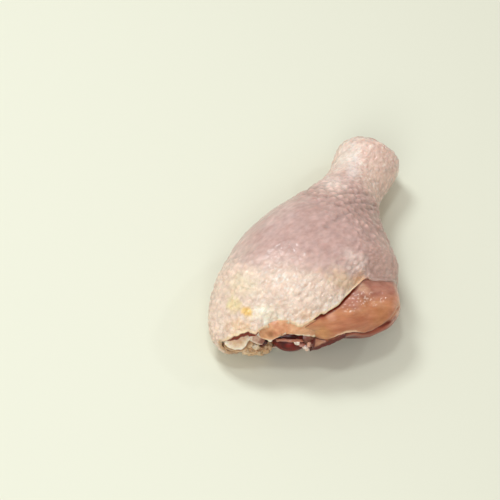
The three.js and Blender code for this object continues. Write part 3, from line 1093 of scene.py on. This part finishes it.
@dataclass(frozen=True)
class Flesh:
    """The meat, bare at the cut end."""

    tones: MuscleTones = MuscleTones()
    voxel: float = 0.6
    smoothing: int = 20
    calf_smoothing: int = 140  # rounds the calf into one bulge
    fibre: Point = (9.0, 1.3, 1.3)
    fibre_turn: float = 30.0
    # where the painted glints on the calf lie
    glint_area: Line = ((16.0, -42.2, 32.2), (19.0, -38.6, 31.8), (23.2, -34.0, 29.6))
    border: Line = (  # the lower border of the calf, from the right to the knee
        (38, -19, 19.6), (37.8, -24.5, 20.8), (37.2, -28.4, 21.3), (36.2, -31.9, 21.5),
        (34.4, -35.1, 21.7), (31.4, -38.3, 21.6), (28.5, -41.1, 20.6), (25.5, -44.3, 21),
        (22.3, -47.9, 23.7), (19.1, -50.2, 24.6), (16.2, -51.7, 23.5), (14, -51.8, 21.5),
        (11.7, -49.5, 17),
    )
    bulge: Line = border[2:7]  # the part of the border beside which the calf swells most
    calf_swelling: float = 0.4
    right_swelling: float = 1.3  # of the far right, where the calf is fattest
    bulge_height: float = 1.7
    groove_depth: float = 0.7  # of the groove along the border
    crevice_depth: float = 0.4  # of the one under the skin's edge
    rim_step: int = 3  # of the points of the skin's edge, one in so many is enough

    def above_border(self, points: Array) -> Array:
        """Tells how far points are above the calf's lower border."""
        x, _, z = np.array(self.border)[::-1].T
        return points[:, 2] - np.interp(points[:, 0], x, z)

    def deep_share(self, points: Array) -> Array:
        """Tells how much of the dark deep muscle shows at each point.

        Args:
            points: the points of the meat.

        Returns:
            A share for each.
        """
        x, _, z = points.T
        wander = 1.5 * noise(points, 6)
        return ramp(z + wander, 20, 17) * ramp(x + wander, 6, 3) * ramp(x, -18, -14)

    def shape(self, node: bpy.types.Object) -> Surface:
        """Gives the plain solid its fibres and bulges.

        Args:
            node: the plain solid.

        Returns:
            The surface of the meat.
        """
        surface = resurfaced(node, self.voxel, self.smoothing)
        soft = resurfaced(node, self.voxel, self.calf_smoothing)
        x, _, z = surface.points.T
        calf = ramp(np.abs(x - 26), 12, 7) * ramp(z, 15, 19)
        rounder = soft.points - surface.points + self.calf_swelling * surface.normals
        points = surface.points + calf[:, None] * rounder
        x, y, z = points.T
        height = 0.1 * noise(points @ turned(self.fibre_turn), self.fibre) + 0.3 * noise(points, 7) - 0.1
        height += 0.3 + self.right_swelling * ramp(x, 29, 36) * ramp(z, 13, 17)
        height += self.bulge_height * ramp(distance_to_path(points, self.bulge), 11, 2)
        above = self.above_border(points)
        sunk = 0.6 * ramp(above, -0.2, -1.6) + self.groove_depth * bell(above + 1.2, 0.7)
        height -= sunk * ramp(x, 8, 16)
        surface.points = points
        surface.swell(height * (ramp(y, -10, -20) * ramp(z, 0.5, 3)))
        return surface

    def build(self, surface: Surface, rim: Array) -> None:
        """Makes the meat, which replaces the plain solid.

        Args:
            surface: the surface of the meat.
            rim: the inner line of the skin's cut edge.
        """
        edge = rim[:: self.rim_step]
        x, _, z = surface.points.T
        crevice = ramp(distance_to_path(surface.points, edge), 1.6, 0.5) * ramp(z, 10, 16) * ramp(x, 24, 18)
        surface.swell(-self.crevice_depth * crevice)
        tint = self.shade(surface.points, edge)
        made = piece("meat", surface.points, surface.faces, WET_MUSCLE, tint, 0.8)
        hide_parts("flesh")

    def shade(self, points: Array, edge: Array) -> Array:
        """Colours the muscles by where they are.

        Args:
            points: the points of the meat.
            edge: the inner line of the skin's cut edge.

        Returns:
            A linear colour for each point.
        """
        x, y, z = points.T
        wander = 1.5 * noise(points, 6) + 0.7 * noise(points, 2.5)
        above = self.above_border(points)
        across = y - 0.8 * x + 0.8 * wander
        deep = self.deep_share(points)
        band = ramp(above, -1.3, -2.0) * ramp(above + wander, -9, -4) * ramp(x + wander, 25, 32)
        step = ramp(above, -1.6, -2.2) * ramp(above + wander, -8, -3) * ramp(x + wander, 17, 21)
        beside = distance_to_path(points, edge)
        # Painted glints of the water film, in small spots near a line across the calf.
        glint_area = ramp(distance_to_path(points, self.glint_area) + wander, 5, 2.5)
        calf_glints = glint_area * ramp(noise(points, (1.0, 0.7, 0.7)) + 0.3 * noise(points, 3), 0.3, 0.5)
        color = painted(points, self.tones.calf, (
            (self.tones.calf_top, ramp(across, -57, -51)),
            (self.tones.calf_low, ramp(across, -59, -64) * ramp(x, 8, 14)),
            # painted shade below the calf's lower border
            (self.tones.calf_underside_shade, ramp(above + 0.2 * wander, -0.5, -1.4) * ramp(x, 5, 9)),
            (self.tones.band, band),
            (self.tones.film, ramp(x + wander, 8, -3) * ramp(z + wander, 17, 21)),
            (self.tones.deep, np.maximum(deep, 0.5 * ramp(y, 40, 50))),
            *(wash.over(points) for wash in self.tones.washes),
            # painted glints
            (self.tones.calf_glint, 0.85 * calf_glints),
            # dried blood and painted shade in the crevice under the skin's edge
            (self.tones.blood_and_crevice_shade, ramp(beside + 0.1 * wander, 1.6, 1.0) * ramp(x, 22, 17) * ramp(z, 10, 16)),
            (self.tones.step, step * ramp(x, 31, 27)),
            # painted rim light along the calf's lower border
            (self.tones.seam, 0.85 * ramp(distance_to_path(points, self.border) + 0.2 * wander, 0.9, 0.3)),
        ))
        streaks = 1.1 * deep * noise(points @ turned(self.fibre_turn), (5.0, 1.4, 1.4))
        return color * (1 + 0.1 * noise(points, (5, 2.5, 2.5)) + streaks)[:, None]


# The films and scraps of the cut end


@dataclass(frozen=True)
class Web:
    """A thin sheet of tissue hung between an upper and a lower line, by way of a middle one."""

    name: str
    upper: Line
    middle: Line
    lower: Line
    thickness: float
    body: str
    border: str
    patches: str
    washes: tuple[Wash, ...] = ()
    hem_depth: float = 1.0  # how deep the border's colour reaches along the lower line

    ROWS = 56
    COLUMNS = 130
    FRAY = 0.5  # how far the lower line wanders up and down
    ROUNDED = 0.5  # how far from its border the sheet gets thinner

    def build(self) -> None:
        """Makes the sheet."""
        share = np.linspace(0, 1, self.COLUMNS)
        top, waist, low = (spline(line, share) for line in (self.upper, self.middle, self.lower))
        down = np.linspace(0, 1, self.ROWS)[:, None, None]
        half = 1 - 2 * down
        middle = (1 - down) * half * top + 4 * down * (1 - down) * waist - down * half * low
        middle = middle + down * np.array([0, 0, self.FRAY]) * noise(low, 2.2)[:, None]
        middle = middle + facing(middle) * (0.18 * noise(middle, 4) + 0.08 * noise(middle, 1.6))[..., None]
        length = np.linalg.norm(np.diff(low, axis=0), axis=1).sum()
        to_low = (1 - down[..., 0]) * np.linalg.norm(low - top, axis=-1)
        to_border = np.minimum(to_low, share * length)
        rounded = np.sqrt(np.clip(np.minimum(to_border, (1 - share) * length) / self.ROUNDED, 0.05, 1))
        swollen = 1 + 0.5 * ramp(to_border, 1.8, 0.6)
        points, faces = thin_sheet(middle, self.thickness * rounded * swollen)
        reach = np.minimum(to_low / self.hem_depth, share * length)
        hem = ramp(reach + 0.3 * noise(middle, 2.0), 1.5, 0.8)
        spots = ramp(noise(middle, 5.5) + 0.3 * noise(middle, 1.8), -0.3, 0.7) * (1 - hem)
        stains = (wash.over(middle) for wash in self.washes)
        tint = painted(middle, self.body, ((self.patches, spots), *stains, (self.border, hem)))
        piece(self.name, points, faces, WHITE_FILM, np.vstack([tint, tint]).reshape(-1, 3))


# What hangs over the cut end: the torn film over the knee, the fold in the lip, a strip of membrane across
# the deep muscle, and the torn hem under the calf, whose near-black lower edge is painted shade of the gap
# beneath the calf.
WEBS = (
    Web(
        name="fascia_flap",
        upper=((-16.8, -58, 22.3), (-13, -56.4, 25.2), (-9.7, -55.2, 27), (-5, -54.4, 28.3),
               (-0.2, -54, 28.9), (5, -51.8, 29.3), (9.5, -48, 28.6)),
        middle=((-16.2, -58.8, 20.4), (-13.2, -58.6, 20.6), (-9.8, -57.9, 22.4), (-5.4, -57, 23.6),
                (-1.2, -56.2, 25), (4.4, -53.6, 24.8), (10.5, -48.5, 23.4)),
        lower=((-16.4, -58.7, 21.6), (-15.4, -58.8, 20.2), (-12, -58.5, 18.5), (-10.4, -58.1, 17.8),
               (-8.9, -57.8, 19.6), (-7.2, -57.5, 21.4), (-5.4, -57.1, 22.8), (-3.4, -56.6, 23.3),
               (-0.6, -55.8, 22.6), (3.2, -53.9, 20.9), (6.8, -51.2, 18)),
        thickness=0.8, body="#F0BC92", border="#FFEED6", patches="#E0A078",
        washes=(
            Wash("#A87046", (-10.8, -57.9, 21.8), (2.4, 2, 2), 0.9),
            Wash("#C99468", (-13.5, -58, 21.5), (3, 3, 4), 0.6),
            Wash("#F2C39C", (3, -54, 25), (5, 4, 4), 0.6),
        ),
    ),
    Web(
        name="lip_fold",
        upper=((-18.6, -59.3, 20.6), (-16.5, -58.1, 18.8), (-14.7, -57.2, 17), (-12.4, -56.4, 14.9)),
        middle=((-18.6, -60, 18.4), (-16.5, -59, 16.8), (-14.7, -58.1, 15), (-12.6, -57, 13.5)),
        lower=((-18.4, -59.6, 16.9), (-16.4, -58.7, 15), (-14.6, -57.8, 13.2), (-13, -56.8, 12.2)),
        thickness=0.8, body="#DDBBA8", border="#F0DCCB", patches="#C48E7A",
        washes=(Wash("#8A3A24", (-13.4, -57.4, 14.6), (2.2, 2, 3), 0.8),),
    ),
    Web(
        name="pink_membrane",
        upper=((-8, -53.6, 13.3), (-5.4, -54.4, 15.6), (-3, -54.7, 16.6), (-0.6, -54.2, 16.9),
               (2.4, -52.6, 16.3)),
        middle=((-7.6, -54.1, 13.1), (-5.3, -54.9, 15.4), (-2.9, -55.2, 16.3), (-0.4, -54.7, 16.6),
                (2.8, -52.9, 15.9)),
        lower=((-7.4, -53.9, 13), (-5.1, -54.6, 15.2), (-2.7, -54.9, 16.1), (-0.2, -54.4, 16.4),
               (3.2, -52.7, 15.6)),
        thickness=0.6, body="#A85C48", border="#CC907A", patches="#8A3E2C",
    ),
    # Its near-black lower edge and left end are painted shade of the gap beneath the calf.
    Web(
        name="calf_strip_and_gap_shade",
        upper=((6.8, -51.8, 18), (9.2, -51.4, 17.5), (12.1, -51, 17.5), (14.3, -50.8, 19.7),
               (16.5, -50.4, 21.8), (19, -49.6, 23.5)),
        middle=((7.1, -52.4, 14.5), (9.5, -52.1, 15.1), (12, -51.8, 16.4), (14.4, -51.6, 18.7),
                (16.6, -51.2, 20.8), (19.3, -50.2, 22.6)),
        lower=((7.3, -52, 9.9), (9.7, -51.8, 11.9), (12.1, -51.6, 14.3), (14.5, -51.4, 16.6),
               (16.6, -51, 18.7), (19.5, -50, 20.9)),
        thickness=0.6, body="#B47C60", border="#600C00", patches="#A0604A",
        washes=(Wash("#D6A888", (10.5, -51.8, 16), (2.5, 2, 1.6), 0.7),),
        hem_depth=2.3,
    ),
)


@dataclass(frozen=True)
class BloodAndSlitShade:
    """The dried blood that lines the skin's edge above the lobe of fat, dark also as painted shade of the
    slit there.
    """

    tone: str = "#7C2400"
    depth: float = 1.2
    thickness: float = 0.4
    rows: int = 6
    forward: Point = (0, -0.5, 0)  # how far it stands in front of the skin
    hanging: Point = (0.1, -0.3, -1.0)  # the way that it hangs
    floor: float = 15.0  # it lines the edge above this height
    ends: Spot = (-27.5, -15.5)  # and between these ends along X

    def build(self, rim: Array) -> None:
        """Makes the line.

        Args:
            rim: the inner line of the skin's cut edge.
        """
        upper = rim[(rim[:, 2] > self.floor) & (rim[:, 0] > self.ends[0]) & (rim[:, 0] < self.ends[1])]
        share = np.linspace(0, 1, len(upper))
        fading = ramp(np.minimum(share, 1 - share), -0.05, 0.25)
        depth = self.depth * (1 + 0.4 * noise(upper, 2.5)) * fading
        down = np.linspace(-0.2, 1, self.rows)[:, None, None] * depth[:, None]
        middle = upper + self.forward + down * self.hanging
        points, faces = thin_sheet(middle, np.full(middle.shape[:2], self.thickness))
        piece("blood_and_slit_shade", points, faces, WHITE_FILM, painted(points, self.tone, ()))


@dataclass(frozen=True)
class Scrap:
    """A small lump of torn tissue."""

    middle: Point
    radii: Point
    tone: str


@dataclass(frozen=True)
class Scraps:
    """Small bits of one kind that cling to the cut end, joined into one object."""

    name: str
    tissue: Tissue
    torn: float  # how ragged they are, up to 1
    bits: tuple[Scrap, ...]

    def build(self) -> None:
        """Makes the bits."""
        ball = bmesh.new()
        bmesh.ops.create_icosphere(ball, subdivisions=4, radius=1)
        sphere = np.array([v.co[:] for v in ball.verts])
        faces = np.array([[v.index for v in f.verts] for f in ball.faces])
        ball.free()
        points, corners, tints = [], [], []
        for bit in self.bits:
            spread = sphere * bit.radii
            places = bit.middle + spread
            swell = 1 + self.torn * (0.6 * noise(places, 1.4) + 0.3 * noise(places, 0.6))
            corners.append(faces + len(sphere) * len(points))
            points.append(bit.middle + spread * swell[:, None])
            tints.append(rgb(bit.tone) * (1 + 0.2 * noise(places, 1.0))[:, None])
        faces, tint = np.concatenate(corners), np.concatenate(tints)
        piece(self.name, np.concatenate(points), faces, self.tissue, tint)


SCRAPS = (
    Scraps("tendon_ends", WHITE_FILM, 0.4, (
        Scrap((0.7, -53.2, 14.6), (1.3, 0.9, 1.6), "#FFF2EC"),
        Scrap((4.2, -52.2, 11.7), (1.2, 1.1, 1.0), "#FFF0E8"),
        Scrap((5.6, -51.9, 13.4), (0.9, 0.8, 1.5), "#E8B8A6"),
        Scrap((2.6, -52.4, 12.6), (1.5, 1.0, 0.8), "#C98E80"),
        Scrap((5.4, -51.6, 9.8), (1.0, 0.9, 1.2), "#F6E0D6"),
        # a bead of fat at the flap's tip, near white as a painted highlight
        Scrap((-10.4, -58.2, 17.6), (0.9, 0.6, 0.9), "#FFF4E2"),
    )),
    Scraps("fat_crumbs", SOFT_FAT, 1.0, (
        Scrap((-19.3, -58.6, 7.6), (2.2, 1.2, 1.3), "#E6CBAC"),
        Scrap((-17.0, -58.3, 9.8), (1.5, 1.2, 1.2), "#D0A884"),
        Scrap((-15.1, -57.9, 10.7), (1.4, 1.0, 1.3), "#EFD8BC"),
        Scrap((-15.4, -57.6, 8.2), (1.6, 1.2, 1.1), "#C69C78"),
        Scrap((-13.7, -56.9, 6.6), (1.1, 1.1, 1.7), "#E2C6A4"),
        Scrap((-13.2, -56.6, 9.0), (1.3, 1.0, 1.0), "#B48A68"),
        Scrap((-12.6, -56.2, 6.6), (0.8, 0.8, 1.2), "#CFAE86"),
    )),
    Scraps("blood_clots", WHITE_FILM, 0.6, (
        Scrap((-12.8, -56.2, 11.2), (1.2, 0.8, 1.2), "#5E1208"),
        Scrap((-11.9, -56.0, 13.0), (0.9, 0.8, 1.1), "#420A05"),
        Scrap((6.6, -51.6, 14.8), (0.6, 0.6, 1.4), "#6E1A0C"),
        Scrap((6.9, -51.2, 10.2), (0.6, 0.6, 1.4), "#4A1610"),
        Scrap((28.0, -41.4, 19.6), (0.45, 0.45, 0.45), "#4A1A14"),
    )),
)


# The fat and the bone


@dataclass(frozen=True)
class EdgeFat:
    """The fat inside the lip at the lower left, with a lobe that a ridge runs round."""

    cream: str = "#EED4B6"
    flush: str = "#DBAC98"
    yellow: str = "#DDBC98"
    # painted shade in the groove outside the ridge and in the gaps of the torn part
    groove: str = "#96683F"
    ridge_highlight: str = "#FFF6E6"  # painted highlight along the ridge
    ridge: Line = (
        (-29, -62.4, 14.8), (-26.2, -62.3, 13.2), (-23.5, -62.2, 12.7), (-21.3, -61.7, 13.1),
        (-19.8, -61, 14.6), (-19.2, -59.7, 16), (-18.8, -57.6, 16.8),
    )
    ridge_height: float = 1.0
    lift: float = 2.2  # how far its upper part swells up under the skin
    voxel: float = 0.35
    smoothing: int = 5

    def build(self, node: bpy.types.Object) -> None:
        """Makes the fat.

        Args:
            node: the plain solid.
        """
        surface = resurfaced(node, self.voxel, self.smoothing)
        points = surface.points
        x, _, z = points.T
        ridge = np.array(self.ridge)
        off = distance_to_path(points, ridge) + 0.2 * noise(points, 1.6)
        outside = ramp(z - np.interp(x, ridge[:, 0], ridge[:, 2]), 0, -0.6)
        torn = ramp(x, -22, -18)
        height = 0.3 * noise(points, 4.2) + 0.2 * noise(points, 1.8) + 0.3
        height += 0.5 * torn * noise(points, 1.3)
        height += self.ridge_height * bell(off, 0.8) - 0.6 * outside * bell(off - 1.5, 0.6)
        surface.swell(height)
        surface.points[:, 2] += self.lift * ramp(z, 12, 17.5) * ramp(x, -29, -25) * ramp(x, -15, -17)
        tint = painted(points, self.cream, (
            (self.flush, 0.5 * ramp(noise(points, 2.4), -0.1, 0.5)),
            (self.yellow, np.maximum(ramp(x + 2 * noise(points, 3), -20, -16), 0.7 * outside)),
            # Painted shade in the groove and the torn gaps, painted highlight along the ridge.
            (self.groove, 0.9 * outside * bell(off - 1.6, 0.8)),
            (self.groove, 0.7 * torn * ramp(noise(points, 1.3), -0.1, -0.5)),
            (self.ridge_highlight, bell(off, 0.9)),
        ))
        made = piece("lip_fat", surface.points, surface.faces, SOFT_FAT, tint, 1.0)
        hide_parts("fat")


@dataclass(frozen=True)
class ShinBone:
    """The shin bone with the knuckle at the hock and its head at the knee."""

    milk: str = "#DDD3DA"
    knee: str = "#C08A70"
    blush: str = "#B97A6C"
    voxel: float = 0.5
    smoothing: int = 10
    unevenness: float = 0.18

    def build(self, node: bpy.types.Object) -> None:
        """Makes the bone.

        Args:
            node: the plain solid.
        """
        surface = resurfaced(node, self.voxel, self.smoothing)
        points = surface.points
        surface.swell(self.unevenness * noise(points, 4))
        knee = ramp(points[:, 1], -20, -40)
        share = ramp(noise(points, 5) + 0.5 * noise(points, 2) + 0.3 * knee, 0.1, 0.7)
        tint = painted(points, self.milk, ((self.knee, knee), (self.blush, share)))
        made = piece("shin_bone", surface.points, surface.faces, CARTILAGE, tint)
        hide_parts("bone")


# The surroundings


@dataclass(frozen=True)
class Lamp:
    """A square lamp that faces the drumstick."""

    name: str
    place: Point
    side: float
    watts: float


@dataclass(frozen=True)
class Studio:
    """The plain ground, the soft light and the camera."""

    ground: str = "#E0E0CD"
    ground_side: float = 6000.0
    ground_roughness: float = 0.9
    air: str = "#FAF0EA"  # warm, so that the shadows are
    air_strength: float = 0.47
    glow: Point = (0.955, 1.03, 1.07)  # the colour of the lamps' light
    lamps: tuple[Lamp, ...] = (
        Lamp("key", (-380, 180, 680), 200, 2.6),
        Lamp("front", (-50, -650, 500), 400, 2.2),
        Lamp("glint", (-150, -100, 880), 120, 1.2),
        Lamp("spark", (480, 400, 670), 60, 0.5),
    )
    elevation: float = 50.0
    roll: float = 14.0
    looks_at: Point = (-27.2, 0.7, 0.0)
    lens: float = 500.0
    sensor: float = 36.0
    pixels: int = 500
    pixels_per_mm: float = 2.4
    sight: float = 20000.0  # how far the camera sees

    def build(self) -> None:
        """Makes the ground, the lights and the camera."""
        self.lay_ground()
        for lamp in self.lamps:
            self.hang(lamp)
        world = bpy.data.worlds.new("air")
        world.use_nodes = True
        background = world.node_tree.nodes["Background"]
        background.inputs["Color"].default_value = linear(self.air)
        background.inputs["Strength"].default_value = self.air_strength
        bpy.context.scene.world = world
        self.place_camera()

    def lay_ground(self) -> None:
        """Makes the ground that the drumstick lies on."""
        mesh = bpy.data.meshes.new("sheet")
        far = self.ground_side / 2 * MM
        ends = ((-far, -far, 0), (far, -far, 0), (far, far, 0), (-far, far, 0))
        mesh.from_pydata(ends, [], [(0, 1, 2, 3)])
        sheet = bpy.data.objects.new("sheet", mesh)
        bpy.context.scene.collection.objects.link(sheet)
        matt = bpy.data.materials.new("matt ground")
        matt.use_nodes = True
        shader = matt.node_tree.nodes["Principled BSDF"]
        shader.inputs["Base Color"].default_value = linear(self.ground)
        shader.inputs["Roughness"].default_value = self.ground_roughness
        mesh.materials.append(matt)

    def hang(self, lamp: Lamp) -> None:
        """Hangs a lamp.

        Args:
            lamp: the lamp.
        """
        light = bpy.data.lights.new(lamp.name, "AREA")
        light.size = lamp.side * MM
        light.energy = lamp.watts
        light.color = self.glow
        hung = bpy.data.objects.new(lamp.name, light)
        hung.location = Vector(lamp.place) * MM
        hung.rotation_euler = Vector(lamp.place).to_track_quat("Z", "Y").to_euler()
        bpy.context.scene.collection.objects.link(hung)

    def place_camera(self) -> None:
        """Sets the camera at the photograph's angle, with its roll."""
        tilt, roll = math.radians(self.elevation), math.radians(self.roll)
        back = Vector((0, -math.cos(tilt), math.sin(tilt)))
        level = Vector((1, 0, 0))
        upright = back.cross(level)
        across = level * math.cos(roll) + upright * math.sin(roll)
        up = upright * math.cos(roll) - level * math.sin(roll)
        away = self.lens / self.sensor * self.pixels / self.pixels_per_mm
        camera = bpy.data.objects.new("camera", bpy.data.cameras.new("camera"))
        camera.data.lens = self.lens
        camera.data.sensor_width = self.sensor
        camera.data.clip_end = self.sight * MM
        facing_it = Matrix((across, up, back)).transposed().to_4x4()
        camera.matrix_world = Matrix.Translation((Vector(self.looks_at) + back * away) * MM) @ facing_it
        bpy.context.scene.collection.objects.link(camera)
        bpy.context.scene.camera = camera
        bpy.context.scene.view_settings.view_transform = "Standard"


def main() -> None:
    """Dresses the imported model."""
    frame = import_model()
    nodes = frame["nodes"]
    flesh = Flesh()
    meat = flesh.shape(nodes["flesh"])
    rim = Skin().build(LegForm(), meat.tree())
    flesh.build(meat, rim)
    for web in WEBS:
        web.build()
    BloodAndSlitShade().build(rim)
    for scraps in SCRAPS:
        scraps.build()
    EdgeFat().build(nodes["fat"])
    ShinBone().build(nodes["bone"])
    Studio().build()


if __name__ == "__main__":
    logging.basicConfig(level=logging.INFO, format="%(name)s %(message)s")
    main()
